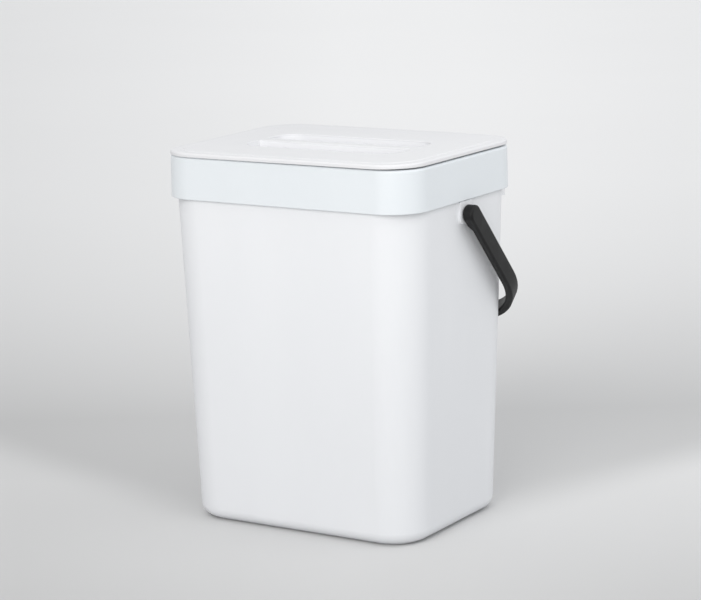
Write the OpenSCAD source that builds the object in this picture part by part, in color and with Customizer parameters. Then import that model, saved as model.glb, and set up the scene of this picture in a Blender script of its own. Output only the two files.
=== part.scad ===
// Kitchen compost caddy: a leaning-walled bucket, a collar that holds the bag's
// edge, a hinged lid with two finger troughs, and a carrying bail.
//
// Origin: centre of the base, on the surface that the caddy stands on.
// +X to the right-hand handle pivot, +Y to the back (hinge side), +Z up.

/* [Bucket] */
// Width of the bucket at its shoulder, under the collar
bucket_w = 225; // [215:1:240]
// Depth of the bucket at its shoulder
bucket_d = 172.6; // [165:0.2:185]
// Height of the shoulder above the floor
shoulder_h = 265.5; // [240:0.5:300]
// Corner radius at the shoulder
bucket_corner_r = 34; // [28:0.5:38]
// How far each wall leans in between the shoulder and the base
wall_lean = 8.1; // [2:0.1:12]
// Radius between the walls and the base
base_fillet_r = 9.7; // [6:0.1:14]
// Thickness of the bucket's walls
bucket_wall = 2; // [1.5:0.1:2.5]
// Thickness of the bucket's floor
bucket_floor = 2.4; // [2:0.1:4]
// Height of the narrow foot ring under the base
foot_h = 1; // [0.6:0.1:2]
// How far the neck inside the collar is set in from the shoulder
neck_step = 1.6; // [1.2:0.1:2.5]
// Height of the neck above the shoulder
neck_h = 27.7; // [20:0.1:32]

/* [Hanging lip] */
// Length of the lip along the back wall
lip_length = 194; // [120:1:196]
// Height of the lip's outer flange
lip_h = 10.6; // [8:0.1:14]
// How far the lip stands out from the shoulder
lip_reach = 8.3; // [7:0.1:9]
// Thickness of the lip's flange, top and end walls
lip_wall = 2.4; // [2:0.1:3]

/* [Collar] */
// Overhang of the collar over the bucket's shoulder, on each side
collar_overhang = 2.5; // [2.2:0.1:3.5]
// Outer corner radius of the collar
collar_corner_r = 30; // [27:0.5:32]
// Height of the collar's bottom edge above the floor
collar_bottom = 262.1; // [256:0.1:265]
// How much narrower the collar is at its top edge, on each side
collar_lean = 0.5; // [0:0.1:1]
// Radius of the collar's soft top edge
collar_edge_r = 2.2; // [1.5:0.1:3.4]
// Thickness of the collar's skirt and inner lip
collar_wall = 1.8; // [1.4:0.1:2]
// Depth of the inner lip that holds the bag down inside the bucket
inner_lip_h = 22; // [15:0.5:30]

/* [Lid] */
// Width of the lid
lid_w = 228.5; // [226:0.1:229.5]
// Depth of the lid, front edge to back edge
lid_d = 179.4; // [179:0.1:180.6]
// Corner radius of the lid
lid_corner_r = 30.6; // [28:0.1:33]
// Height of the lid's visible edge
lid_edge_h = 3.4; // [3.2:0.1:4]
// Gap between the collar's top and the lid's edge
lid_gap = 1.2; // [1.1:0.1:1.8]
// How far the lid's panel stands above its edge
panel_rise = 0.4; // [0.2:0.1:0.8]
// Thickness of the lid's panel and of its trough walls
lid_wall = 2.2; // [1.8:0.1:2.4]
// Inset of the raised panel from the lid's edge
border_inset = 8; // [6:0.1:9]

/* [Finger troughs] */
// Length of the recess along X
recess_w = 141; // [120:1:150]
// Width of the recess, front to back
recess_d = 70; // [60:1:72]
// Radius of the recess's corners
recess_corner_r = 16; // [10:1:24]
// Depth of the recess
recess_depth = 16; // [10:0.5:18]
// Width of the bar between the two troughs
grip_bar_w = 11; // [10:0.1:18]
// How far the recess's middle lies in front of the caddy's middle
recess_forward = 1.5; // [0:0.1:3]

/* [Lid hinge] */
// Distance of each hinge's middle from the caddy's middle
hinge_x = 48; // [40:1:60]
// How far the hinge tongue stands out behind the lid's back edge
tongue_reach = 3; // [2.8:0.1:3.4]
// Width of the lid's knuckle
lid_knuckle_w = 14; // [10:0.5:16]
// Width of each collar ear
collar_ear_w = 6.6; // [5:0.1:8]
// Radius of the knuckles
knuckle_r = 3.4; // [3:0.1:3.5]
// Radius of the hinge pins
pin_r = 1.5; // [1.2:0.1:1.8]
// Angle at which the open lid meets its stop lugs
lid_open_angle = 105; // [100:1:110]

/* [Handle] */
// Height of the handle's pivots above the floor
pivot_h = 251.5; // [247:0.1:252]
// Distance from the pivots to the crossbar's outer face
bail_reach = 136.3; // [134:0.1:140]
// Outer radius of the bail's two bends
bend_r = 56; // [44:1:57]
// Thickness of the strap, in the plane of the bail
strap_t = 6.35; // [5:0.05:8]
// Width of the strap and of its round hubs, across the plane of the bail
strap_w = 14.4; // [13:0.1:16]
// Radius of the strap's long edges
strap_edge_r = 1.8; // [1:0.1:2.4]
// How far the hubs stand in from the strap, towards the bucket
hub_step = 2.5; // [1.8:0.1:3]
// Radius of the pegs that turn in the bucket's pads
peg_r = 4; // [3:0.1:5]
// Length of the pegs
peg_l = 6.6; // [5:0.1:8]

/* [Hidden] */
$fn = 48;
eps = 0.01;
running_gap = 0.06;

// Bucket: outside sizes at the base, and where the inner walls turn upright
base_w = bucket_w - 2 * wall_lean;
base_d = bucket_d - 2 * wall_lean;
corner_taper = 2.5;
base_corner_r = bucket_corner_r - corner_taper;
neck_w = bucket_w - 2 * neck_step;
neck_d = bucket_d - 2 * neck_step;
neck_corner_r = bucket_corner_r - neck_step;
rim_h = shoulder_h + neck_h;
mouth_w = neck_w - 2 * bucket_wall;
mouth_d = neck_d - 2 * bucket_wall;
mouth_corner_r = neck_corner_r - bucket_wall;
upright_h = shoulder_h * (1 - neck_step / wall_lean);
foot_ring_w = 3;

// Gap between the collar's bottom edge and what ends just under it
collar_edge_gap = 0.4;

// Pads and sockets for the handle's pegs
pad_step = 1.7;
pad_face_x = bucket_w / 2 + pad_step;
pad_w = 19;
pad_bottom = 244;
pad_top = collar_bottom - collar_edge_gap;
pad_corner_r = 5;
socket_depth = peg_l + 1.2;
socket_boss_r = peg_r + 3.2;
socket_end_wall = 1.6;

// Hanging lip and its slot
lip_bottom = collar_bottom - collar_edge_gap - lip_h;
slot_bite = 0.2;

// Collar
collar_w = bucket_w + 2 * collar_overhang;
collar_d = bucket_d + 2 * collar_overhang;
collar_deck = 2;
rim_gap = 0.2;
collar_top = rim_h + rim_gap + collar_deck;
skirt_in_w = collar_w - 2 * collar_wall;
skirt_in_d = collar_d - 2 * collar_wall;
skirt_in_r = collar_corner_r - collar_wall;
inner_lip_gap = 1.5;
lip_out_w = mouth_w - 2 * inner_lip_gap;
lip_out_d = mouth_d - 2 * inner_lip_gap;
lip_out_r = mouth_corner_r - inner_lip_gap;
throat_w = lip_out_w - 2 * collar_wall;
throat_d = lip_out_d - 2 * collar_wall;
throat_r = lip_out_r - collar_wall;

// Lid
lid_bottom = collar_top + lid_gap;
edge_top = lid_bottom + lid_edge_h;
lid_top = edge_top + panel_rise;
skirt_clearance = 1;
lid_skirt_w = throat_w - 2 * skirt_clearance;
lid_skirt_d = throat_d - 2 * skirt_clearance;
lid_skirt_r = throat_r - skirt_clearance;
lid_skirt_drop = 7.5;
lid_skirt_bottom = collar_top - lid_skirt_drop;
lid_edge_r = 1.5;
lid_skirt_t = 1.8;
panel_corner_r = lid_corner_r - 2.6;
recess_floor = lid_top - recess_depth;

// Seal, in a groove under the lid
seal_w = 3;
seal_groove = 0.6;
seal_outset = 4.6;
seal_out_w = throat_w + 2 * seal_outset;
seal_out_d = throat_d + 2 * seal_outset;
seal_out_r = throat_r + seal_outset;
seal_face_gap = 0.25;

// Lid hinge: the axis lies just behind the collar and just under the lid
hinge_y = lid_d / 2 + tongue_reach - knuckle_r;
axis_drop = 2.6;
hinge_z = collar_top - axis_drop;
knuckle_gap = 0.4;
tongue_w = 2 * hinge_x + lid_knuckle_w + 2 * (knuckle_gap + collar_ear_w) + 4;
tongue_corner_r = 5;
tongue_root = 12;
tongue_inset = 0.3;
hinge_pin_l = lid_knuckle_w + 2 * (knuckle_gap + collar_ear_w);
notch_r = knuckle_r + 0.6;
pin_fit = 0.02;
stop_lug_w = 8;
stop_lug_x = 22;
stop_lug_root = collar_d / 2 - collar_wall / 2 - hinge_y;
stop_lug_reach = 6.6;
stop_lug_top = -3.8;
stop_lug_nose = -8;
stop_lug_foot = -14;
stop_gap = 0.15;

// Handle
hub_outset = 0.15;
hub_r = strap_w / 2 + hub_outset;
hub_gap = 0.3;
hub_edge_r = 0.6;
hub_taper_in = 1;
hub_taper_start = 5;
hub_taper_end = 13;
hub_in_x = pad_face_x + hub_gap;
strap_in_x = hub_in_x + hub_step;
strap_out_x = strap_in_x + strap_t;
crossbar_in = bail_reach - strap_t;
wall_gap = 1.3;
// The bail hangs back until its bends meet the bucket's back corners, where its crossbar
// is still wall_gap off the back wall. With the wall's lean as a slope, that is
// a * sin(angle) + b * cos(angle) = reach, less the rounding of the crossbar's edge.
wall_slope = wall_lean / (shoulder_h - foot_h - base_fillet_r);
hang_a = crossbar_in + wall_slope * strap_w / 2;
hang_b = wall_slope * crossbar_in - strap_w / 2;
hang_reach = bucket_d / 2 - wall_slope * (shoulder_h - pivot_h) + wall_gap
    - strap_edge_r * (sqrt(2) - 1);
hang_angle = asin(hang_reach / norm([hang_a, hang_b])) - atan2(hang_b, hang_a);

WHITE = [0.93, 0.94, 0.94];
COLLAR_WHITE = [0.90, 0.93, 0.95];
BLACK = [0.10, 0.10, 0.10];
SEAL_GREY = [0.75, 0.77, 0.78];
STEEL = [0.70, 0.71, 0.73];

// Flat rounded rectangle, centred
module rounded_rect(w, d, r) {
    square([w - 2 * r, d], center = true);
    square([w, d - 2 * r], center = true);
    for (sx = [-1, 1], sy = [-1, 1])
        translate([sx * (w / 2 - r), sy * (d / 2 - r)]) circle(r);
}

// Upright rounded bar from z0 to z1
module rounded_bar(w, d, r, z0, z1) {
    translate([0, 0, z0]) linear_extrude(z1 - z0) rounded_rect(w, d, r);
}

// Upright wall that follows a rounded rectangle, thickness t inwards
module rounded_wall(w, d, r, t, z0, z1) {
    difference() {
        rounded_bar(w, d, r, z0, z1);
        rounded_bar(w - 2 * t, d - 2 * t, r - t, z0 - 1, z1 + 1);
    }
}

// Copies of a round child at the four corner centres
module at_corners(w, d, r) {
    for (sx = [-1, 1], sy = [-1, 1])
        translate([sx * (w / 2 - r), sy * (d / 2 - r), 0]) children();
}

// Disc with rounded lower and upper edges
module soft_disc(r, h, r_low, r_high) {
    low = r_low > 0
        ? [for (a = [0 : 15 : 90]) [r - r_low + r_low * sin(a), r_low - r_low * cos(a)]]
        : [[r, 0]];
    high = r_high > 0
        ? [for (a = [0 : 15 : 90]) [r - r_high + r_high * cos(a), h - r_high + r_high * sin(a)]]
        : [[r, h]];
    rotate_extrude() polygon(concat([[0, 0]], low, high, [[0, h]]));
}

// Leaning shell body: a rounded base that widens to the given top
module leaning_body(w0, d0, r0, w1, d1, r1, fillet, z0, z1) {
    hull() {
        at_corners(w0, d0, r0) translate([0, 0, z0]) soft_disc(r0, fillet + eps, fillet, 0);
        at_corners(w1, d1, r1) translate([0, 0, z1 - eps]) cylinder(r = r1, h = eps);
    }
}

// Cylinder along X, from x0 to x1
module bar_x(r, x0, x1) {
    translate([x0, 0, 0]) rotate([0, 90, 0]) cylinder(r = r, h = x1 - x0);
}

// Children at both hinges of the lid
module at_hinges() {
    for (side = [-1, 1])
        translate([side * hinge_x, hinge_y, hinge_z]) children();
}

// ---- bucket: base, leaning walls, neck, pads for the pegs, hanging lip ----
module bucket() {
    color(WHITE) difference() {
        union() {
            leaning_body(base_w, base_d, base_corner_r, bucket_w, bucket_d, bucket_corner_r,
                base_fillet_r, foot_h, shoulder_h);
            rounded_bar(neck_w, neck_d, neck_corner_r, shoulder_h - 1, rim_h);
            rounded_wall(base_w - 2 * base_fillet_r, base_d - 2 * base_fillet_r,
                base_corner_r - base_fillet_r, foot_ring_w, 0, foot_h + 0.5);
            for (side = [-1, 1]) peg_pad(side);
            hanging_lip();
        }
        leaning_body(base_w - 2 * bucket_wall, base_d - 2 * bucket_wall, base_corner_r - bucket_wall,
            mouth_w, mouth_d, mouth_corner_r, base_fillet_r - bucket_wall,
            foot_h + bucket_floor, upright_h);
        difference() {
            rounded_bar(mouth_w, mouth_d, mouth_corner_r, upright_h - 1, rim_h + 1);
            for (side = [-1, 1]) socket_boss(side);
        }
        for (side = [-1, 1]) peg_socket(side);
        hanging_slot();
    }
}

// Raised pad on a side wall, and the boss behind it inside the bucket
module peg_pad(side) {
    mirror([side < 0 ? 1 : 0, 0, 0])
        translate([bucket_w / 2 - bucket_wall, 0, 0]) rotate([90, 0, 90])
            linear_extrude(pad_face_x - bucket_w / 2 + bucket_wall) {
                translate([0, (pad_bottom + pad_top) / 2])
                    rounded_rect(pad_w, pad_top - pad_bottom, pad_corner_r);
                translate([-pad_w / 2, pad_top - pad_corner_r]) square([pad_w, pad_corner_r]);
            }
    socket_boss(side);
}

module socket_boss(side) {
    mirror([side < 0 ? 1 : 0, 0, 0]) translate([0, 0, pivot_h])
        bar_x(socket_boss_r, pad_face_x - socket_depth - socket_end_wall, bucket_w / 2);
}

module peg_socket(side) {
    mirror([side < 0 ? 1 : 0, 0, 0]) translate([0, 0, pivot_h])
        bar_x(peg_r + running_gap, pad_face_x - socket_depth, pad_face_x + 1);
}

// Lip along the back wall, with closed ends
module hanging_lip() {
    translate([-lip_length / 2, 0, lip_bottom])
        cube([lip_length, bucket_d / 2 + lip_reach, lip_h]);
}

// Slot under the lip that drops over a rail
module hanging_slot() {
    slot_l = lip_length - 2 * lip_wall;
    slot_out_y = bucket_d / 2 + lip_reach - lip_wall;
    translate([-slot_l / 2, bucket_d / 2 - slot_bite, lip_bottom - 1])
        cube([slot_l, slot_out_y - bucket_d / 2 + slot_bite, lip_h + 1 - lip_wall]);
}

// ---- collar: skirt outside the bucket, deck on its rim, lip inside it ----
module liner_collar() {
    color(COLLAR_WHITE) difference() {
        union() {
            collar_ring();
            for (side = [-1, 1]) collar_ears(side);
            for (side = [-1, 1]) stop_lug(side);
        }
        at_hinges() bar_x(notch_r, -lid_knuckle_w / 2 - knuckle_gap, lid_knuckle_w / 2 + knuckle_gap);
        at_hinges() translate([-lid_knuckle_w / 2 - knuckle_gap, -notch_r, 0])
            cube([lid_knuckle_w + 2 * knuckle_gap, 2 * notch_r, notch_r]);
        at_hinges() bar_x(pin_r + pin_fit, -hinge_pin_l / 2 - 1, hinge_pin_l / 2 + 1);
    }
}

module collar_ring() {
    top_w = collar_w - 2 * collar_lean;
    top_d = collar_d - 2 * collar_lean;
    top_r = collar_corner_r - collar_lean;
    difference() {
        hull() {
            at_corners(collar_w, collar_d, collar_corner_r)
                translate([0, 0, collar_bottom]) cylinder(r = collar_corner_r, h = eps);
            at_corners(top_w, top_d, top_r)
                translate([0, 0, collar_top - 2 * collar_edge_r])
                    soft_disc(top_r, 2 * collar_edge_r, 0, collar_edge_r);
        }
        difference() {
            rounded_bar(skirt_in_w, skirt_in_d, skirt_in_r, collar_bottom - 1, collar_top - collar_deck);
            rounded_bar(lip_out_w, lip_out_d, lip_out_r, collar_bottom - 2, collar_top);
        }
        rounded_bar(lip_out_w + 1, lip_out_d + 1, lip_out_r + 0.5,
            collar_bottom - 1, collar_top - inner_lip_h);
        rounded_bar(throat_w, throat_d, throat_r, collar_bottom - 1, collar_top + 1);
    }
}

// Two ears that hold one hinge pin, on the collar's back
module collar_ears(side) {
    ear_x = lid_knuckle_w / 2 + knuckle_gap;
    translate([side * hinge_x, hinge_y, hinge_z])
        for (ear = [-1, 1]) mirror([ear < 0 ? 1 : 0, 0, 0]) {
            bar_x(knuckle_r, ear_x, ear_x + collar_ear_w);
            translate([ear_x, collar_d / 2 - collar_wall - hinge_y, -knuckle_r])
                cube([collar_ear_w, hinge_y - collar_d / 2 + collar_wall, 2 * knuckle_r]);
        }
}

// Lug that the lid's back edge lands on when the lid is fully open
module stop_lug(side) {
    translate([side * stop_lug_x - stop_lug_w / 2, hinge_y, hinge_z])
        rotate([90, 0, 90]) linear_extrude(stop_lug_w)
            difference() {
                polygon([[stop_lug_root, stop_lug_top], [stop_lug_reach, stop_lug_top],
                    [stop_lug_reach - 0.4, stop_lug_nose], [stop_lug_root, stop_lug_foot]]);
                // The open lid's back edge, with a hair of space
                rotate(-lid_open_angle)
                    translate([-20, -20]) square([20 + knuckle_r + stop_gap, 40]);
            }
}

// ---- lid: panel with a rolled edge, locating skirt, two troughs, knuckles ----
module lid() {
    color(WHITE) difference() {
        union() {
            lid_panel();
            hinge_tongue();
            rounded_wall(lid_skirt_w, lid_skirt_d, lid_skirt_r, lid_skirt_t,
                lid_skirt_bottom, lid_top - 1);
            trough_walls();
            at_hinges() lid_knuckle();
        }
        trough_space();
        seal_ring(lid_bottom - 1, lid_bottom + seal_groove);
        at_hinges() bar_x(pin_r + running_gap, -lid_knuckle_w / 2 - 1, lid_knuckle_w / 2 + 1);
    }
}

module lid_panel() {
    difference() {
        union() {
            hull() at_corners(lid_w, lid_d, lid_corner_r)
                translate([0, 0, lid_bottom]) soft_disc(lid_corner_r, lid_edge_h, 0.5, lid_edge_r);
            rounded_bar(lid_w - 2 * border_inset, lid_d - 2 * border_inset, panel_corner_r,
                edge_top - 1, lid_top);
        }
        rounded_bar(lid_skirt_w - 1, lid_skirt_d - 1, lid_skirt_r - 0.5,
            lid_bottom - 1, lid_top - lid_wall);
    }
}

// Part of the lid's edge that reaches back over the knuckles and the collar's ears
module hinge_tongue() {
    tongue_d = tongue_reach + tongue_root;
    translate([0, lid_d / 2 + tongue_reach - tongue_d / 2, 0])
        rounded_bar(tongue_w, tongue_d, tongue_corner_r, lid_bottom + tongue_inset, edge_top - tongue_inset);
}

// Outside of the two troughs, hanging under the panel
module trough_walls() {
    for (side = [-1, 1]) trough(side, lid_wall, recess_floor - lid_wall, lid_top - 1);
}

module trough_space() {
    for (side = [-1, 1]) trough(side, 0, recess_floor, lid_top + 1);
}

// Half of the recess on one side of the grip bar, grown outwards by a wall
module trough(side, grow, z0, z1) {
    inner_y = grip_bar_w / 2 - grow;
    span = recess_d;
    translate([0, -recess_forward, z0]) linear_extrude(z1 - z0)
        intersection() {
            rounded_rect(recess_w + 2 * grow, recess_d + 2 * grow, recess_corner_r + grow);
            translate([-recess_w, side > 0 ? inner_y : -inner_y - span]) square([2 * recess_w, span]);
        }
}

// Knuckle under the lid's back edge, centred on the hinge axis
module lid_knuckle() {
    bar_x(knuckle_r, -lid_knuckle_w / 2, lid_knuckle_w / 2);
    translate([-lid_knuckle_w / 2, -knuckle_r, 0])
        cube([lid_knuckle_w, 2 * knuckle_r, lid_bottom + 1 - hinge_z]);
}

// ---- seal and hinge pins ----
module lid_seal() {
    color(SEAL_GREY) seal_ring(collar_top + seal_face_gap, lid_bottom + seal_groove);
}

module seal_ring(z0, z1) {
    rounded_wall(seal_out_w, seal_out_d, seal_out_r, seal_w, z0, z1);
}

module hinge_pin(side) {
    color(STEEL) translate([side * hinge_x, hinge_y, hinge_z])
        bar_x(pin_r, -hinge_pin_l / 2, hinge_pin_l / 2);
}

module hinge_pin_left() {
    hinge_pin(-1);
}

module hinge_pin_right() {
    hinge_pin(1);
}

// ---- handle: strap bail with round hubs and pegs, hanging back ----
module handle() {
    color(BLACK) translate([0, 0, pivot_h]) rotate([hang_angle, 0, 0]) {
        for (side = [-1, 1]) mirror([side < 0 ? 1 : 0, 0, 0]) bail_side();
        translate([0, 0, -bail_reach + strap_t / 2]) rotate([0, 90, 0])
            linear_extrude(2 * (strap_out_x - bend_r), center = true) strap_section();
    }
}

// Section of the strap: strap_t along its first axis, strap_w along its second
module strap_section() {
    rounded_rect(strap_t, strap_w, strap_edge_r);
}

// Round end of an arm, with a soft outer edge. The part that stands in from the strap tapers
// off below the pivot.
module hub() {
    taper_top_x = hub_in_x + hub_taper_in;
    taper_slope = (hub_taper_end - hub_taper_start) / (strap_in_x - taper_top_x);
    taper_foot = hub_taper_end + strap_edge_r * taper_slope;
    translate([hub_in_x, 0, 0]) rotate([0, 90, 0])
        soft_disc(hub_r, strap_out_x - hub_in_x, hub_edge_r, strap_edge_r);
    rotate([90, 0, 0]) linear_extrude(strap_w - 2 * hub_edge_r, center = true)
        polygon([[taper_top_x, -1], [strap_in_x + strap_edge_r, -1],
            [strap_in_x + strap_edge_r, -taper_foot], [taper_top_x, -hub_taper_start]]);
}

// One arm, its bend, hub and peg, hanging straight down from the pivot
module bail_side() {
    hub();
    bar_x(peg_r, pad_face_x - peg_l, hub_in_x + 1);
    translate([(strap_in_x + strap_out_x) / 2, 0, -bail_reach + bend_r])
        linear_extrude(bail_reach - bend_r) strap_section();
    translate([strap_out_x - bend_r, 0, -bail_reach + bend_r]) rotate([-90, 0, 0])
        rotate_extrude(angle = 90) translate([bend_r - strap_t / 2, 0]) strap_section();
}

bucket();
liner_collar();
lid();
lid_seal();
hinge_pin_left();
hinge_pin_right();
handle();
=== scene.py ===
import math

import bmesh
import bpy
import numpy as np
from mathutils import Matrix, Vector


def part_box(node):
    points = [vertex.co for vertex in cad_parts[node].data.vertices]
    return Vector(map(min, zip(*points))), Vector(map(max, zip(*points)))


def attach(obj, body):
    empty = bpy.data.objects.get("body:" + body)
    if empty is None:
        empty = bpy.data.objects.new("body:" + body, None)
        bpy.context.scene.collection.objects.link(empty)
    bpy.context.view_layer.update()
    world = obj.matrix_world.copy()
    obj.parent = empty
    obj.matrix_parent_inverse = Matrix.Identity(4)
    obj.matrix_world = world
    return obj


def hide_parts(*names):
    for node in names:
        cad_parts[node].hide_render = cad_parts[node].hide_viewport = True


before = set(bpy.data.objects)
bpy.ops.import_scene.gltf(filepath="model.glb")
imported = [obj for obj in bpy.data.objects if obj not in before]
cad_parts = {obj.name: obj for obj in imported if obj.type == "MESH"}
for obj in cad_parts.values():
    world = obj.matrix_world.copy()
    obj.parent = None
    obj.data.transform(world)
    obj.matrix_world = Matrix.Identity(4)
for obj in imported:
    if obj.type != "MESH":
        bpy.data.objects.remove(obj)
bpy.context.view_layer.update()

# ---- Camera ----
# Stands to the right of the caddy's front, a little above its lid, with a long lens.
# It is turned a hair about its own axis, as a hand-held camera is.
camera_turn = math.radians(32.142)
camera_rise = math.radians(11.458)
camera_roll = math.radians(-1.316)
camera_distance = 1.984116
camera_right_by = 0.006072
camera_up_by = 0.042518
camera_aim_height = 0.130
camera_lens = 126.889

towards_camera = Vector((
    math.sin(camera_turn) * math.cos(camera_rise),
    -math.cos(camera_turn) * math.cos(camera_rise),
    math.sin(camera_rise),
))
picture_right = Vector((math.cos(camera_turn), math.sin(camera_turn), 0))
picture_up = towards_camera.cross(picture_right)
aim = picture_right * camera_right_by + picture_up * camera_up_by + Vector((0, 0, camera_aim_height))
camera_axes = Matrix((picture_right, picture_up, towards_camera)).transposed()
camera_axes = camera_axes @ Matrix.Rotation(camera_roll, 3, "Z")

camera_data = bpy.data.cameras.new("camera")
camera_data.lens = camera_lens
camera_data.sensor_width = 36
camera_data.clip_start = 0.05
camera_data.clip_end = 60
camera = bpy.data.objects.new("camera", camera_data)
camera.matrix_world = Matrix.Translation(aim + towards_camera * camera_distance) @ camera_axes.to_4x4()
bpy.context.scene.collection.objects.link(camera)
bpy.context.scene.camera = camera

# ---- Bucket ----
# The body of the caddy: one injection-moulded shell of white polypropylene with leaning walls,
# a neck that the collar drops over, a pad on each side for the handle's pegs, and a lip across
# the back that hooks over a rail.
MM = 0.001


def cad_box(node):
    """Lowest and highest corner of a CAD node, in millimetres."""
    return [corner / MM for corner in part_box(node)]


bucket_high = cad_box("bucket")[1]
rim = bucket_high.z
pad_face = bucket_high.x
lip_back = bucket_high.y
neck_h = 27.7
neck_step = 1.6
shoulder = rim - neck_h
shoulder_size = (112.5, 86.3, 34.0)
wall_lean = 8.1
base_size = (shoulder_size[0] - wall_lean, shoulder_size[1] - wall_lean, 31.5)
base_fillet = 9.7
foot_h = 1.0
foot_w = 3.0
bucket_wall = 2.0
bucket_floor = foot_h + 2.4
walls_from = foot_h + base_fillet
upright_from = shoulder * (1 - neck_step / wall_lean)


def grow(size, by):
    """A rounded rectangle (half width, half depth, corner radius), grown by the same all round."""
    return tuple(value + by for value in size)


def between(first, second, share):
    """The size part of the way from the first to the second."""
    share = min(max(share, 0), 1)
    return tuple(a + (b - a) * share for a, b in zip(first, second))


def ring(size, z, mid_y=0.0, corner_steps=24):
    """Points of a level rounded rectangle, anticlockwise from above."""
    half_w, half_d, radius = size
    points = []
    for quarter, (side_x, side_y) in enumerate([(1, 1), (-1, 1), (-1, -1), (1, -1)]):
        for step in range(corner_steps + 1):
            angle = math.pi / 2 * (quarter + step / corner_steps)
            x = side_x * (half_w - radius) + radius * math.cos(angle)
            y = side_y * (half_d - radius) + radius * math.sin(angle) + mid_y
            points.append((x, y, z))
    return points


def soften(corners, closed=False, steps=7):
    """Line through corners (a, b, radius), with an arc in place of each rounded corner."""
    points = []
    last = len(corners) - 1
    for index, (a, b, radius) in enumerate(corners):
        if radius == 0 or (not closed and index in (0, last)):
            points.append((a, b))
            continue
        here = Vector((a, b))
        back = (Vector(corners[index - 1][:2]) - here).normalized()
        ahead = (Vector(corners[(index + 1) % (last + 1)][:2]) - here).normalized()
        half = back.angle(ahead) / 2
        centre = here + (back + ahead).normalized() * (radius / math.sin(half))
        start = here + back * (radius / math.tan(half)) - centre
        end = here + ahead * (radius / math.tan(half)) - centre
        sweep = math.atan2(start.x * end.y - start.y * end.x, start.dot(end))
        for step in range(steps + 1):
            angle = math.atan2(start.y, start.x) + sweep * step / steps
            points.append((centre.x + radius * math.cos(angle), centre.y + radius * math.sin(angle)))
    return points


def skin(bm, rings, closed=False, start_cap=True, end_cap=True):
    """Quads between neighbouring rings of points, with a flat cap on the ends that ask for one."""
    loops = [[bm.verts.new(point) for point in points] for points in rings]
    pairs = list(zip(loops, loops[1:]))
    if closed:
        pairs.append((loops[-1], loops[0]))
    for lower, upper in pairs:
        for near in range(len(lower)):
            far = (near + 1) % len(lower)
            bm.faces.new((lower[near], lower[far], upper[far], upper[near]))
    if start_cap and not closed:
        bm.faces.new(loops[0])
    if end_cap and not closed:
        bm.faces.new(loops[-1])
    return loops


def piece_from(bm, name):
    """Object made from a bmesh in millimetres, in the frame's metres."""
    bmesh.ops.remove_doubles(bm, verts=bm.verts, dist=0.0005)
    bmesh.ops.recalc_face_normals(bm, faces=bm.faces)
    bmesh.ops.scale(bm, vec=(MM, MM, MM), verts=bm.verts)
    mesh = bpy.data.meshes.new(name)
    bm.to_mesh(mesh)
    bm.free()
    made = bpy.data.objects.new(name, mesh)
    bpy.context.scene.collection.objects.link(made)
    return made


def lofted(name, rings, closed=False):
    """Closed solid through a row of rings."""
    bm = bmesh.new()
    skin(bm, rings, closed)
    return piece_from(bm, name)


def turned_x(name, profile, mid_y, mid_z, sides=64):
    """Solid turned about a line along X; its profile is (x, radius) from end to end."""
    rings = []
    for x, radius in profile:
        around = [2 * math.pi * side / sides for side in range(sides)]
        rings.append([(x, mid_y + radius * math.cos(a), mid_z + radius * math.sin(a)) for a in around])
    return lofted(name, rings)


def bar_across(name, corners, x_low, x_high, edge):
    """Bar along X with the outline (y, z, radius) of its section, its two ends' edges rounded."""
    middle = Vector((sum(c[0] for c in corners), sum(c[1] for c in corners))) / len(corners)
    rings = []
    for drop, along in soften([(edge * 2, 0, 0), (0, 0, edge), (0, x_high - x_low, edge),
                               (edge * 2, x_high - x_low, 0)]):
        points = []
        for y, z in soften(corners, closed=True):
            inwards = (middle - Vector((y, z))).normalized() * drop
            points.append((x_low + along, y + inwards.x, z + inwards.y))
        rings.append(points)
    return lofted(name, rings)


def combine(piece, tool, operation):
    """Joins the tool to the piece, or cuts it out of the piece, and deletes the tool."""
    change = piece.modifiers.new("combine", "BOOLEAN")
    change.operation = operation
    change.solver = "EXACT"
    change.object = tool
    graph = bpy.context.evaluated_depsgraph_get()
    result = bpy.data.meshes.new_from_object(piece.evaluated_get(graph))
    piece.modifiers.clear()
    piece.data = result
    bpy.data.objects.remove(tool)


def smooth_shade(piece, sharp_angle=38):
    """Rounds shade smoothly, flats stay flat, and corners over the sharp angle stay crisp."""
    bm = bmesh.new()
    bm.from_mesh(piece.data)
    bmesh.ops.remove_doubles(bm, verts=bm.verts, dist=1e-6)
    bmesh.ops.dissolve_degenerate(bm, edges=bm.edges, dist=1e-6)
    for face in bm.faces:
        face.smooth = True
    for edge in bm.edges:
        edge.smooth = edge.is_manifold and edge.calc_face_angle() < math.radians(sharp_angle)
    bm.to_mesh(piece.data)
    bm.free()
    normals = piece.modifiers.new("face_weighted_normals", "WEIGHTED_NORMAL")
    normals.mode = "FACE_AREA"
    normals.keep_sharp = True


def wall_x(z):
    """How far out a side wall's outer face is, at a height."""
    return shoulder_size[0] - wall_lean * (shoulder - z) / (shoulder - walls_from)


outside = soften([
    (-base_fillet - foot_w, foot_h, 0),
    (-base_fillet - foot_w, 0, 0.3),
    (-base_fillet, 0, 0.3),
    (-base_fillet, foot_h, 0),
    (0, foot_h, base_fillet),
    (0, shoulder, 0.6),
    (-neck_step, shoulder, 0.5),
    (-neck_step, rim, 0.7),
    (-neck_step - bucket_wall / 2, rim, 0),
])
bucket_rings = []
for out_by, z in outside:
    size = between(base_size, shoulder_size, (z - walls_from) / (shoulder - walls_from))
    bucket_rings.append(ring(grow(size, out_by), z))

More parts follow.
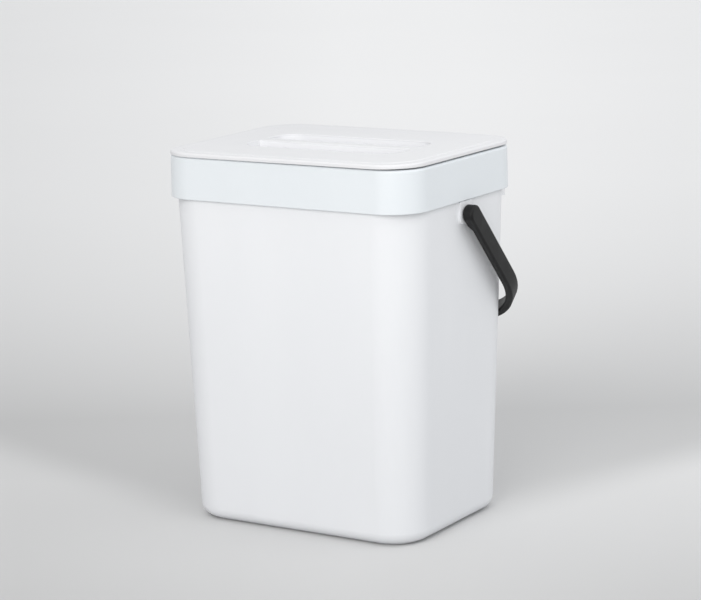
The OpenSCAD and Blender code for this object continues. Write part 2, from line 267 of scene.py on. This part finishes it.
mouth_size = grow(shoulder_size, -neck_step - bucket_wall)
inside_base = grow(base_size, -bucket_wall)
inside_fillet = base_fillet - bucket_wall
inside_from = bucket_floor + inside_fillet
inside = soften([
    (bucket_wall / 2, rim, 0),
    (0, rim, 0.7),
    (0, upright_from, 0),
    (0, bucket_floor, inside_fillet),
    (-30, bucket_floor, 0),
])
for out_by, z in inside[1:]:
    size = between(inside_base, mouth_size, (z - inside_from) / (upright_from - inside_from))
    bucket_rings.append(ring(grow(size, out_by), z))
bucket = lofted("bucket_shell", bucket_rings)

# The pad on each side, with a soft edge and a fillet into the wall, the boss behind it
# and the blind socket for the handle's peg
pivot_z = 251.5
pad_half = 9.5
pad_bottom = 244.0
pad_top = 261.7
pad_corner = 5.0
pad_fillet = 0.8
pad_edge = 0.7
peg_r = 4.0
peg_l = 6.6
socket_bottom = pad_face - peg_l - 1.2
boss_end = socket_bottom - 1.6


def pad_ring(side, out_by, height):
    """Outline of a pad grown by out_by, at a share of the height from the wall to its face."""
    outline = soften([
        (-pad_half - out_by, pad_bottom - out_by, pad_corner + out_by),
        (pad_half + out_by, pad_bottom - out_by, pad_corner + out_by),
        (pad_half + out_by, pad_top + out_by, 1.5 + out_by),
        (-pad_half - out_by, pad_top + out_by, 1.5 + out_by),
    ], closed=True, steps=12)
    return [(side * (wall_x(z) + (pad_face - wall_x(z)) * height), y, z) for y, z in outline]


pad_step = pad_face - wall_x(pivot_z)
pad_section = soften([
    (pad_fillet + 0.4, 0.02, 0),
    (0, 0.02, pad_fillet),
    (0, pad_step, pad_edge),
    (-pad_edge - 0.1, pad_step, 0),
])
for side in (-1, 1):
    rings = [pad_ring(side, pad_fillet + 0.4, -0.2)]
    rings += [pad_ring(side, out_by, height / pad_step) for out_by, height in pad_section]
    combine(bucket, lofted("pad", rings), "UNION")
    boss = [(side * x, radius) for x, radius in [
        (boss_end, 5.6), (boss_end + 0.4, 6.7), (boss_end + 1.4, 7.2), (wall_x(pivot_z) - 1, 7.2)]]
    combine(bucket, turned_x("boss", boss, 0, pivot_z), "UNION")

# The lip across the back, and the slot under it
lip_half = 97.0
lip_bottom = 251.1
lip_wall = 2.4
lip_root = shoulder_size[1] - 1.4
lip_section = [
    (lip_root, lip_bottom, 0.6),
    (lip_back, lip_bottom, 0.8),
    (lip_back, pad_top, 1.4),
    (lip_root, pad_top, 0.6),
]
combine(bucket, bar_across("lip", lip_section, -lip_half, lip_half, 0.8), "UNION")
slot_half = lip_half - lip_wall
slot_section = [
    (shoulder_size[1] - 0.35, lip_bottom - 2, 0.05),
    (lip_back - lip_wall, lip_bottom - 2, 0.05),
    (lip_back - lip_wall, pad_top - lip_wall, 0.6),
    (shoulder_size[1] - 0.35, pad_top - lip_wall, 0.05),
]
combine(bucket, bar_across("slot", slot_section, -slot_half, slot_half, 0.3), "DIFFERENCE")
for side in (-1, 1):
    socket_r = peg_r + 0.06
    socket = [(side * socket_bottom, socket_r), (side * (pad_face + 1), socket_r)]
    combine(bucket, turned_x("socket", socket, 0, pivot_z), "DIFFERENCE")
smooth_shade(bucket)


class Value:
    """A socket of a shader. Arithmetic on it adds Math nodes to its finish."""

    def __init__(self, finish, socket):
        self.finish = finish
        self.socket = socket

    def math(self, operation, first, second):
        return self.finish.node("ShaderNodeMath", {"operation": operation}, {0: first, 1: second})

    def __add__(self, other):
        return self.math("ADD", self, other)

    def __sub__(self, other):
        return self.math("SUBTRACT", self, other)

    def __truediv__(self, other):
        return self.math("DIVIDE", self, other)

    def __rsub__(self, other):
        return self.math("SUBTRACT", other, self)

    def __mul__(self, other):
        return self.math("MULTIPLY", self, other)

    def __pow__(self, other):
        return self.math("POWER", self, other)

    def __abs__(self):
        return self.math("ABSOLUTE", self, 0)

    __radd__ = __add__
    __rmul__ = __mul__


class Finish:
    """The node tree of a new material or world, built up node by node."""

    def __init__(self, owner):
        self.owner = owner
        owner.use_nodes = True
        self.tree = owner.node_tree
        self.tree.nodes.clear()

    def place(self, kind="Object"):
        """Object coordinates in metres; Generated gives a world its direction."""
        return self.node("ShaderNodeTexCoord", output=kind)

    def node(self, kind, settings=None, inputs=None, output=0):
        """Adds a node: its settings first, then the values or links of its sockets."""
        made = self.tree.nodes.new(kind)
        for name, value in (settings or {}).items():
            setattr(made, name, value)
        for key, value in (inputs or {}).items():
            if isinstance(value, Value):
                self.tree.links.new(value.socket, made.inputs[key])
            else:
                made.inputs[key].default_value = value
        return Value(self, made.outputs[output]) if made.outputs else made

    def noise(self, scale, detail=2.0, stretch=(1, 1, 1)):
        """Cloudy pattern about 0.5; scale is in patches per metre, stretch scales the axes apart."""
        place = self.node("ShaderNodeMapping", inputs={"Vector": self.place(), "Scale": stretch})
        return self.node("ShaderNodeTexNoise", inputs={"Vector": place, "Scale": scale, "Detail": detail})

    def along(self, axis):
        """Object coordinate along one axis, in metres."""
        return self.node("ShaderNodeSeparateXYZ", inputs={"Vector": self.place()}, output=axis)

    def ramp(self, amount, low, high, first=0.0, second=1.0, kind="SMOOTHSTEP"):
        """Number that goes from first to second while amount goes from low to high, and stays there."""
        inputs = {"Value": amount, "From Min": low, "From Max": high, "To Min": first, "To Max": second}
        return self.node("ShaderNodeMapRange", {"interpolation_type": kind}, inputs)

    def tint(self, amount, first, second):
        """Mix of two colours, each a tuple or the result of another mix."""
        colours = [(*c, 1) if isinstance(c, tuple) else c for c in (first, second)]
        inputs = {0: amount, 6: colours[0], 7: colours[1]}
        return self.node("ShaderNodeMix", {"data_type": "RGBA", "clamp_factor": False}, inputs, output=2)

    def bump(self, height, depth, below=None):
        """Relief whose height from 0 to 1 stands for a depth in metres, over what is below it."""
        inputs = {"Height": height, "Distance": depth}
        if below:
            inputs["Normal"] = below
        return self.node("ShaderNodeBump", inputs=inputs)

    def surface(self, constants, **varying):
        """Principled surface and output. Constants are set on the shader's own sockets."""
        inputs = constants | {name.replace("_", " "): value for name, value in varying.items()}
        shader = self.node("ShaderNodeBsdfPrincipled", inputs=inputs)
        self.node("ShaderNodeOutputMaterial", inputs={"Surface": shader})
        return self.owner


def moulded(name, colour, shade, roughness, pocket=None):
    """Satin polypropylene: a fine spark-eroded grain, faint flow marks and a little handling wear.

    It is painted darker low down, a painted shade for the light that falls off near the floor. A
    pocket, as (half width, middle, half depth, top) in millimetres, gets a painted lighter face
    under its rim, standing in for the light inside the trough.
    """
    low_shade_reach = 0.22
    trough_painted_light_gain = 1.09
    rim_depth = 2.2
    finish = Finish(bpy.data.materials.new(name))
    flow = finish.noise(14, 3.0, (1, 1, 0.35))
    scuffs = finish.noise(60, 4.0, (1, 1, 0.12))
    grain = finish.noise(2600, 2.0)
    # Painted shade: the colour darkens towards the bottom, standing in for the light falling off near the
    # floor
    painted_low_shade = finish.ramp(finish.along("Z"), 0.0, low_shade_reach, 1.5, 0.0, "LINEAR")
    tone = finish.tint(finish.ramp(flow, 0.35, 0.65) * 0.4 + painted_low_shade, colour, shade)
    if pocket:
        half_w, middle, half_d, top = [size * MM for size in pocket]
        lowest_rim = top - rim_depth * MM
        inside = finish.ramp(abs(finish.along("X")), half_w, half_w + MM, 1.0, 0.0)
        inside = inside * finish.ramp(abs(finish.along("Y") - middle), half_d, half_d + MM, 1.0, 0.0)
        inside = inside * finish.ramp(finish.along("Z"), lowest_rim, lowest_rim + MM, 1.0, 0.0)
        # Painted light: the face inside the pocket is tinted lighter, standing in for the light inside the
        # trough
        tone = finish.tint(inside, tone, tuple(part * trough_painted_light_gain for part in colour))
    rub = finish.ramp(scuffs, 0.56, 0.72, 0.0, 0.06)
    rough = flow * 0.08 + rub + roughness
    waves = finish.bump(flow, 0.0003)
    relief = finish.bump(grain, 0.000012, waves)
    return finish.surface({"IOR": 1.49}, Base_Color=tone, Roughness=rough, Normal=relief)


bucket.data.materials.clear()
bucket_finish = moulded("bucket_white", (0.804, 0.814, 0.833), (0.77, 0.78, 0.80), 0.40)
bucket.data.materials.append(bucket_finish)
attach(bucket, "bucket")
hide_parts("bucket")

# ---- Handle ----
# The carrying bail: one strap of black polypropylene, moulded with a round hub and a peg at
# each end. It is sprung over the bucket's pads and hangs back against the wall.
handle_high = cad_box("handle")[1]
arm_out = handle_high.x
hub_in = pad_face + 0.3
arm_in = hub_in + 2.5
arm_t = arm_out - arm_in
arm_half = 7.2
arm_edge = 1.8
bail_reach = 136.3
bend_r = 56.0
taper_from = 6.0
taper_to = 14.0
peg_end = pad_face - peg_l

# It hangs at the angle where its bends meet the bucket's back corners, with the crossbar
# still a little off the leaning back wall
crossbar_gap = 1.3
wall_slope = wall_lean / (shoulder - walls_from)
hang_a = bail_reach - arm_t + wall_slope * arm_half
hang_b = wall_slope * (bail_reach - arm_t) - arm_half
hang_reach = shoulder_size[1] - wall_slope * (shoulder - pivot_z) + crossbar_gap
hang_reach -= arm_edge * (math.sqrt(2) - 1)
hang_angle = math.asin(hang_reach / math.hypot(hang_a, hang_b)) - math.atan2(hang_b, hang_a)

bend_mid = bail_reach - bend_r
crossbar_end = arm_out - bend_r


def arm_section(down):
    """Section of the strap at a distance below the pivot, as (across, depth behind its outer face)."""
    taper = min(max((down - taper_from) / (taper_to - taper_from), 0), 1)
    taper = taper * taper * (3 - 2 * taper)
    thick = arm_out - hub_in + (hub_in - arm_in) * taper
    quarter = [math.pi / 2 * step / 6 for step in range(7)]
    points = []
    for side, inner, turns in [(1, False, quarter), (-1, False, quarter[::-1]),
                               (-1, True, quarter), (1, True, quarter[::-1])]:
        for turn in turns:
            inset = arm_edge * (1 - math.cos(turn))
            if down < 0:
                inset = min(inset, arm_half + down)
            radius = arm_half - inset
            across = math.sqrt(max(radius ** 2 - min(down, 0) ** 2, 0))
            lift = math.sqrt(max(arm_edge ** 2 - (arm_edge - inset) ** 2, 0))
            depth = thick - arm_edge + lift if inner else arm_edge - lift
            points.append((side * across, depth))
    return points


bail_rings = []
hub_stops = [-arm_half * math.cos(math.radians(angle)) for angle in range(4, 90, 6)]
taper_stops = [taper_to * step / 14 for step in range(15)]
arm_stops = [taper_to + (bend_mid - taper_to) * step / 10 for step in range(1, 11)]
for down in hub_stops + taper_stops + arm_stops:
    bail_rings.append([(arm_out - depth, across, -down) for across, depth in arm_section(down)])
for step in range(1, 19):
    turn = math.pi / 2 * step / 18
    points = []
    for across, depth in arm_section(bend_mid):
        reach = bend_r - depth
        points.append((crossbar_end + reach * math.cos(turn), across, -bend_mid - reach * math.sin(turn)))
    bail_rings.append(points)
for points in bail_rings[::-1]:
    bail_rings.append([(-x, y, z) for x, y, z in points])
hang = Matrix.Translation((0, 0, pivot_z)) @ Matrix.Rotation(hang_angle, 4, "X")
bail_rings = [[tuple(hang @ Vector(point)) for point in points] for points in bail_rings]
bail = lofted("handle_bail", bail_rings)
for side in (-1, 1):
    peg = [(side * x, radius) for x, radius in [
        (peg_end, peg_r - 0.7), (peg_end + 0.2, peg_r - 0.25), (peg_end + 0.7, peg_r), (hub_in + 1, peg_r)]]
    combine(bail, turned_x("peg", peg, 0, pivot_z), "UNION")
smooth_shade(bail)


def black_strap():
    """Black polypropylene with a fine grain, a little shinier where hands rub it."""
    finish = Finish(bpy.data.materials.new("handle_black"))
    patches = finish.noise(90, 3.0)
    grain = finish.noise(2200, 3.0)
    scuffs = finish.noise(45, 5.0, (0.15, 1, 1))
    tone = finish.tint(finish.ramp(patches, 0.35, 0.65), (0.004, 0.004, 0.0042), (0.007, 0.007, 0.0072))
    rub = finish.ramp(scuffs, 0.55, 0.70, 0.0, 0.09)
    relief = finish.bump(grain, 0.00003, finish.bump(patches, 0.0001))
    rough = 0.46 + finish.ramp(patches, 0.3, 0.7, -0.03, 0.03) - rub
    return finish.surface({"IOR": 1.36}, Base_Color=tone, Roughness=rough, Normal=relief)


bail.data.materials.clear()
bail.data.materials.append(black_strap())
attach(bail, "handle")
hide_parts("handle")

# ---- Liner collar ----
# A separate moulded ring that drops over the bucket's neck. Its skirt covers the shoulder and
# its inner lip holds the bag's edge down; two pairs of ears at the back hold the hinge pins.
collar_low, collar_high = cad_box("liner_collar")
collar_bottom = collar_low.z
collar_size = (collar_high.x, -collar_low.y, 30.0)
collar_top = rim + 2.2
collar_lean = 0.5
collar_wall = 1.8
collar_edge = 2.2
deck_under = collar_top - 2.0
throat_in = 9.4
inner_lip_in = 7.6
inner_lip_bottom = 273.4
hinge_x = 48.0
hinge_y = 89.3
hinge_z = collar_top - 2.6
knuckle_r = 3.4
knuckle_half = 7.0
knuckle_gap = 0.4
ear_w = 6.6
pin_r = 1.5
open_angle = math.radians(105)


def collar_ring_at(in_by, z):
    """Ring of the collar set in from its outer face; the radius changes towards the throat."""
    radius = np.interp(-in_by, [-throat_in, -inner_lip_in, -collar_edge - collar_lean, 0],
                       [27.1, 28.9, 26.5, collar_size[2]])
    return ring((collar_size[0] - in_by, collar_size[1] - in_by, float(radius)), z)


collar_section = soften([
    (0, collar_bottom, 0.5),
    (collar_lean, collar_top, collar_edge),
    (throat_in, collar_top, 0.8),
    (throat_in, inner_lip_bottom, 0.8),
    (inner_lip_in, inner_lip_bottom, 0.8),
    (inner_lip_in, deck_under, 0.5),
    (collar_wall, deck_under, 0.5),
    (collar_wall, collar_bottom, 0.4),
], closed=True)
collar_rings = [collar_ring_at(in_by, z) for in_by, z in collar_section]
collar = lofted("liner_collar_ring", collar_rings, closed=True)

ear_root = collar_size[1] - 1.5
ear_section = [
    (ear_root, hinge_z - knuckle_r, 0.3),
    (hinge_y + knuckle_r, hinge_z - knuckle_r, knuckle_r - 0.02),
    (hinge_y + knuckle_r, hinge_z + knuckle_r, knuckle_r - 0.02),
    (ear_root, hinge_z + knuckle_r, 0.3),
]
lug_x = 22.0
lug_half = 4.0
lug_reach = 6.6
lug_gap = 0.2


def lug_top(y):
    """Height where the open lid's back edge lands on a stop lug, at a distance behind the axis."""
    return hinge_z - (knuckle_r + lug_gap + y * -math.cos(open_angle)) / math.sin(open_angle)


lug_root = ear_root - hinge_y
lug_crest = 0.5
lug_section = [
    (hinge_y + lug_root, lug_top(lug_crest), 0.2),
    (hinge_y + lug_crest, lug_top(lug_crest), 0.4),
    (hinge_y + lug_reach, lug_top(lug_reach), 0.5),
    (hinge_y + lug_reach - 0.4, hinge_z - 8, 0.7),
    (hinge_y + lug_root, hinge_z - 14, 0.2),
]
ear_from = knuckle_half + knuckle_gap
notch_r = knuckle_r + 0.6
for side in (-1, 1):
    for x_low in (side * hinge_x - ear_from - ear_w, side * hinge_x + ear_from):
        combine(collar, bar_across("ear", ear_section, x_low, x_low + ear_w, 0.5), "UNION")
    x_low = side * lug_x - lug_half
    combine(collar, bar_across("lug", lug_section, x_low, x_low + 2 * lug_half, 0.6), "UNION")
for side in (-1, 1):
    notch_section = [
        (hinge_y - notch_r, hinge_z - notch_r, notch_r - 0.02),
        (hinge_y + notch_r, hinge_z - notch_r, notch_r - 0.02),
        (hinge_y + notch_r, hinge_z + notch_r, 0.1),
        (hinge_y - notch_r, hinge_z + notch_r, 0.1),
    ]
    x_low = side * hinge_x - ear_from
    combine(collar, bar_across("notch", notch_section, x_low, x_low + 2 * ear_from, 0.02), "DIFFERENCE")
    bore = [(side * hinge_x - 20, pin_r + 0.02), (side * hinge_x + 20, pin_r + 0.02)]
    combine(collar, turned_x("bore", bore, hinge_y, hinge_z, 48), "DIFFERENCE")
smooth_shade(collar)
collar.data.materials.clear()
collar_finish = moulded("collar_white", (0.751, 0.786, 0.811), (0.726, 0.761, 0.786), 0.38)
collar.data.materials.append(collar_finish)
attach(collar, "collar")
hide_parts("liner_collar")

# ---- Lid ----
# One moulding of white polypropylene: a thin panel with a rolled edge and a fine border line, a
# skirt under it that drops into the collar's throat, two finger troughs with a grip bar between
# them, and a knuckle at each hinge.
lid_low, lid_high = cad_box("lid")
lid_top = lid_high.z
lid_edge_h = 3.4
panel_rise = 0.4
edge_top = lid_top - panel_rise
lid_bottom = edge_top - lid_edge_h
lid_size = (lid_high.x, -lid_low.y, 30.6)
panel_size = (lid_size[0] - 8.0, lid_size[1] - 8.0, lid_size[2] - 2.6)
panel_slope = 0.5
seal_size = (110.2, 84.0, 31.7)
seal_w = 3.0
seal_groove_top = lid_bottom + 0.6
skirt_size = (104.6, 78.4, 26.1)
skirt_t = 1.8
skirt_bottom = collar_top - 7.5
panel_under = lid_top - 2.2
recess_half = (70.5, 35.0, 16.0)
recess_mid = -1.5
recess_floor = lid_top - 16.0
grip_half = 5.5
trough_wall = 2.2
trough_corner = 1.5
recess_rim = 0.9


def trough_ring(side, out_by, z):
    """Outline of one trough, grown by out_by: a rounded rectangle cut off along the grip bar."""
    half_w, half_d, radius = recess_half
    arc_x = half_w - radius
    arc_y = half_d - radius
    right = []
    for step in range(7):
        angle = -math.pi / 2 + math.pi / 2 * step / 6
        radial = trough_corner + out_by
        corner = (half_w - trough_corner, grip_half + trough_corner)
        right.append((corner[0] + radial * math.cos(angle), corner[1] + radial * math.sin(angle)))
    for step in range(25):
        angle = math.pi / 2 * step / 24
        radial = radius + out_by
        right.append((arc_x + radial * math.cos(angle), arc_y + radial * math.sin(angle)))
    outline = right + [(-x, y) for x, y in right[::-1]]
    return [(x, recess_mid + side * y, z) for x, y in outline]


def fill_between(bm, loops):
    """Flat face inside the first loop of points, with the other loops left open."""
    edges = []
    for loop in loops:
        edges += [bm.edges.get((a, b)) for a, b in zip(loop, loop[1:] + loop[:1])]
    bmesh.ops.triangle_fill(bm, use_beauty=True, edges=edges)


panel_section = soften([
    (-2, lid_top, 0),
    (-panel_slope, lid_top, 0.3),
    (0, edge_top, 0.3),
    (1, edge_top, 0),
], steps=4)
lid_rings = [ring(grow(panel_size, out_by), z) for out_by, z in panel_section]
edge_section = soften([
    (-2, edge_top, 0),
    (0, edge_top, 1.5),
    (0, lid_bottom, 0.5),
    (-2, lid_bottom, 0),
], steps=5)
lid_rings += [ring(grow(lid_size, out_by), z) for out_by, z in edge_section]
lid_rings += [ring(grow(seal_size, out_by), z) for out_by, z in [
    (0, lid_bottom), (0, seal_groove_top), (-seal_w, seal_groove_top), (-seal_w, lid_bottom)]]
skirt_section = soften([
    (0.6, lid_bottom, 0),
    (0, lid_bottom, 0.4),
    (0, skirt_bottom, 0.7),
    (-skirt_t, skirt_bottom, 0.7),
    (-skirt_t, panel_under, 0.6),
    (-skirt_t - 1, panel_under, 0),
], steps=5)
lid_rings += [ring(grow(skirt_size, out_by), z) for out_by, z in skirt_section]

lid_mesh = bmesh.new()
edge_loops = skin(lid_mesh, lid_rings, start_cap=False, end_cap=False)
top_loops = [edge_loops[0]]
under_loops = [edge_loops[-1]]
for side in (-1, 1):
    inner = soften([
        (recess_rim + 0.3, lid_top, 0),
        (0, lid_top, recess_rim),
        (-0.25, recess_floor, 1.2),
        (-1.4, recess_floor, 0),
    ], steps=6)
    inner_loops = skin(lid_mesh, [trough_ring(side, *point) for point in inner], start_cap=False)
    outer = soften([
        (trough_wall + 0.6, panel_under, 0),
        (trough_wall, panel_under, 0.5),
        (trough_wall - 0.25, recess_floor - trough_wall, 1.6),
        (-0.3, recess_floor - trough_wall, 0),
    ], steps=6)
    outer_loops = skin(lid_mesh, [trough_ring(side, *point) for point in outer], start_cap=False)
    top_loops.append(inner_loops[0])
    under_loops.append(outer_loops[0])
fill_between(lid_mesh, top_loops)
fill_between(lid_mesh, under_loops)


# The thin lid sags a little onto the collar along its front and left, as mouldings do
sag = 0.95
for vert in lid_mesh.verts:
    leftwards = min(max((105 - vert.co.x) / 75, 0), 1)
    forwards = min(max((50 - vert.co.y) / 110, 0), 1)
    vert.co.z -= sag * math.sin(leftwards * math.pi / 2) * math.sin(forwards * math.pi / 2)
lid = piece_from(lid_mesh, "lid_panel")

# The tongue that reaches back over the hinges, and the knuckles under it
tongue_half = 64.0
tongue_section = [
    (lid_size[1] - 6, lid_bottom + 0.3, 0.2),
    (lid_high.y, lid_bottom + 0.3, 0.4),
    (lid_high.y, edge_top - 0.3, 1.2),
    (lid_size[1] - 6, edge_top - 0.3, 0.2),
]
combine(lid, bar_across("tongue", tongue_section, -tongue_half, tongue_half, 1.2), "UNION")
knuckle_back = knuckle_r - 0.05
knuckle_section = [
    (hinge_y - knuckle_back, hinge_z - knuckle_r, knuckle_back - 0.02),
    (hinge_y + knuckle_back, hinge_z - knuckle_r, knuckle_back - 0.02),
    (hinge_y + knuckle_back, lid_bottom + 1, 0.05),
    (hinge_y - knuckle_back, lid_bottom + 1, 0.05),
]
for side in (-1, 1):
    x_low = side * hinge_x - knuckle_half
    combine(lid, bar_across("knuckle", knuckle_section, x_low, x_low + 2 * knuckle_half, 0.3), "UNION")
    bore = [(side * hinge_x - 12, pin_r + 0.06), (side * hinge_x + 12, pin_r + 0.06)]
    combine(lid, turned_x("bore", bore, hinge_y, hinge_z, 48), "DIFFERENCE")
smooth_shade(lid)
lid.data.materials.clear()
# The troughs' faces get a painted lighter tone, standing in for the light inside them
pocket_margin = 1.5
trough_pocket = (recess_half[0] + pocket_margin, recess_mid, recess_half[1] + pocket_margin, lid_top)
# The lid's white is set darker than the bucket's: painted shade for the weaker light from above
lid_finish = moulded("lid_white", (0.748, 0.75, 0.763), (0.728, 0.73, 0.746), 0.42, trough_pocket)
lid.data.materials.append(lid_finish)
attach(lid, "lid")
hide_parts("lid")

# ---- Lid seal ----
# A soft grey ring pressed into the groove under the lid, with a rounded lower edge that meets
# the collar's deck and keeps smells in.
seal_low = cad_box("lid_seal")[0]
seal_play = 0.03
seal_section = soften([
    (-seal_play, seal_groove_top - seal_play, 0.2),
    (-seal_w + seal_play, seal_groove_top - seal_play, 0.2),
    (-seal_w + seal_play, seal_low.z, 0.85),
    (-seal_play, seal_low.z, 0.85),
], closed=True)
seal_rings = [ring(grow(seal_size, out_by), z) for out_by, z in seal_section]
seal = lofted("lid_seal_ring", seal_rings, closed=True)
smooth_shade(seal)


def rubber():
    """Grey thermoplastic rubber: matt, faintly mottled, with a soft bloom."""
    finish = Finish(bpy.data.materials.new("seal_grey"))
    mottle = finish.noise(220, 4.0)
    grain = finish.noise(1800, 2.0)
    tone = finish.tint(finish.ramp(mottle, 0.35, 0.65), (0.46, 0.48, 0.49), (0.53, 0.55, 0.56))
    relief = finish.bump(grain, 0.00003)
    rough = finish.ramp(mottle, 0.3, 0.7, 0.66, 0.78)
    return finish.surface({"IOR": 1.5}, Base_Color=tone, Roughness=rough, Normal=relief)


seal.data.materials.clear()
seal.data.materials.append(rubber())
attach(seal, "lid")
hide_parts("lid_seal")

# ---- Hinge pins ----
# Two short pins of drawn stainless steel, pressed through the collar's ears. The lid's knuckles
# turn on them.


def drawn_steel():
    """Bright drawn wire: fine lines run along the pin."""
    finish = Finish(bpy.data.materials.new("pin_steel"))
    lines = finish.noise(900, 3.0, (0.02, 1, 1))
    spots = finish.noise(400, 2.0)
    tone = finish.tint(finish.ramp(spots, 0.4, 0.6), (0.60, 0.61, 0.63), (0.68, 0.69, 0.70))
    rough = finish.ramp(lines, 0.3, 0.7, 0.22, 0.36)
    relief = finish.bump(lines, 0.00001)
    return finish.surface({"Metallic": 1.0}, Base_Color=tone, Roughness=rough, Normal=relief)


steel = drawn_steel()
for name in ("hinge_pin_left", "hinge_pin_right"):
    low, high = cad_box(name)
    ends = [(low.x, pin_r - 0.3), (low.x + 0.3, pin_r), (high.x - 0.3, pin_r), (high.x, pin_r - 0.3)]
    pin = turned_x(name + "_wire", ends, hinge_y, hinge_z, 40)
    smooth_shade(pin)
    pin.data.materials.append(steel)
    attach(pin, "collar")
    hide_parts(name)

# ---- Floor and light ----
# A wide sheet of pale paper, with light and shade painted into its grey: lighter far behind the
# caddy, darker towards the left, and a painted dim band of shade just behind it.
floor_mesh = bmesh.new()
bmesh.ops.create_circle(floor_mesh, cap_ends=True, radius=14.0, segments=96)
floor_data = bpy.data.meshes.new("floor")
floor_mesh.to_mesh(floor_data)
floor_mesh.free()
floor = bpy.data.objects.new("floor", floor_data)
bpy.context.scene.collection.objects.link(floor)

# The painted shade falls to a dim band behind the caddy, and the grey levels off far away
far_grey = 0.985
band_depth = 0.38
band_from = 0.32
band_to = 2.1
band_falloff = 2.8


def paper():
    """White card with its light painted into its grey: a painted bright apron in front, a painted dim band
    of shade behind it, and painted shade dimmer to the sides.

    The far sheet also glows a little to the eye, as an overlit backdrop does, and lights nothing.
    """
    apron_blur = 0.06
    eye_reach = 1.95
    finish = Finish(bpy.data.materials.new("floor_paper"))
    x = finish.along("X")
    y = finish.along("Y")
    behind = y * math.cos(camera_turn) - x * math.sin(camera_turn)
    aside = x * math.cos(camera_turn) + y * math.sin(camera_turn)
    # Painted light: a bright apron in front of the caddy; painted shade: the dim band behind it and the
    # dimmer sides
    apron_edge = finish.ramp(aside, -0.60, -0.125, 0.57, 0.0, "LINEAR")
    apron_edge = apron_edge + finish.ramp(aside, 0.128, 0.60, 0.0, 0.39, "LINEAR")
    apron = finish.ramp(behind - apron_edge, -apron_blur, apron_blur, 1.0, 0.0)
    dim = finish.ramp(behind, band_from, band_to, 1.0, 0.0, "LINEAR") ** band_falloff
    sheet = far_grey - dim * band_depth
    front = finish.ramp(behind, -1.1, -0.3, 0.66, 0.555, "LINEAR")
    front = front + finish.ramp(behind, -0.25, 0.10, 0.0, 0.185, "LINEAR")
    tone = sheet + (front - sheet) * apron
    away = finish.ramp(behind, -1.0, 14.0, eye_reach - 1.0, eye_reach + 14.0, "LINEAR")
    left = finish.ramp(aside / away, -0.137, 0.0, 0.86, 1.0, "LINEAR")
    right = finish.ramp(aside / away, 0.05, 0.137, 1.0, 0.95, "LINEAR")
    tone = tone * left * right + finish.ramp(finish.noise(1.5), 0.3, 0.7, -0.004, 0.004)
    colour = finish.node("ShaderNodeCombineColor", inputs={0: tone, 1: tone, 2: tone})
    seen = finish.node("ShaderNodeLightPath", output="Is Camera Ray")
    seen = seen + finish.node("ShaderNodeLightPath", output="Is Glossy Ray")
    glow = finish.ramp(behind, 1.4, 3.0, 0.0, 0.036, "LINEAR") * seen
    glow = finish.node("ShaderNodeCombineColor", inputs={0: glow, 1: glow, 2: glow})
    constants = {"Roughness": 0.9, "Emission Strength": 1.0}
    return finish.surface(constants, Base_Color=colour, Emission_Color=glow)


floor_data.materials.append(paper())


def soft_lamp(name, turn, rise, distance, size, power, colour):
    """Square lamp that faces the caddy's middle, at a turn from its front and a rise, in degrees."""
    turn = math.radians(turn)
    rise = math.radians(rise)
    way = Vector((math.sin(turn) * math.cos(rise), -math.cos(turn) * math.cos(rise), math.sin(rise)))
    data = bpy.data.lights.new(name, "AREA")
    data.size = size
    data.energy = power
    data.color = colour
    lamp = bpy.data.objects.new(name, data)
    lamp.location = Vector((0, 0, 0.15)) + way * distance
    lamp.rotation_euler = way.to_track_quat("Z", "Y").to_euler()
    bpy.context.scene.collection.objects.link(lamp)


soft_lamp("window", 10, 26, 1.5, 1.0, 10.2, (1.0, 0.99, 0.975))
soft_lamp("side_fill", 95, 44, 0.8, 0.5, 0.93, (0.97, 0.985, 1.0))

# An even sky, dimmer far to the left of the picture
sky = Finish(bpy.data.worlds.new("sky"))
facing_right = sky.node("ShaderNodeVectorMath", {"operation": "DOT_PRODUCT"}, {
    0: sky.place("Generated"), 1: picture_right}, output="Value")
daylight = sky.tint(sky.ramp(facing_right, -1.0, -0.55, 0.35, 1.0), (0.0, 0.0, 0.0), (0.982, 0.990, 1.0))
dome = sky.node("ShaderNodeBackground", inputs={"Color": daylight, "Strength": 0.875})
sky.node("ShaderNodeOutputWorld", inputs={"Surface": dome})
bpy.context.scene.world = sky.owner
bpy.context.scene.view_settings.view_transform = "Standard"
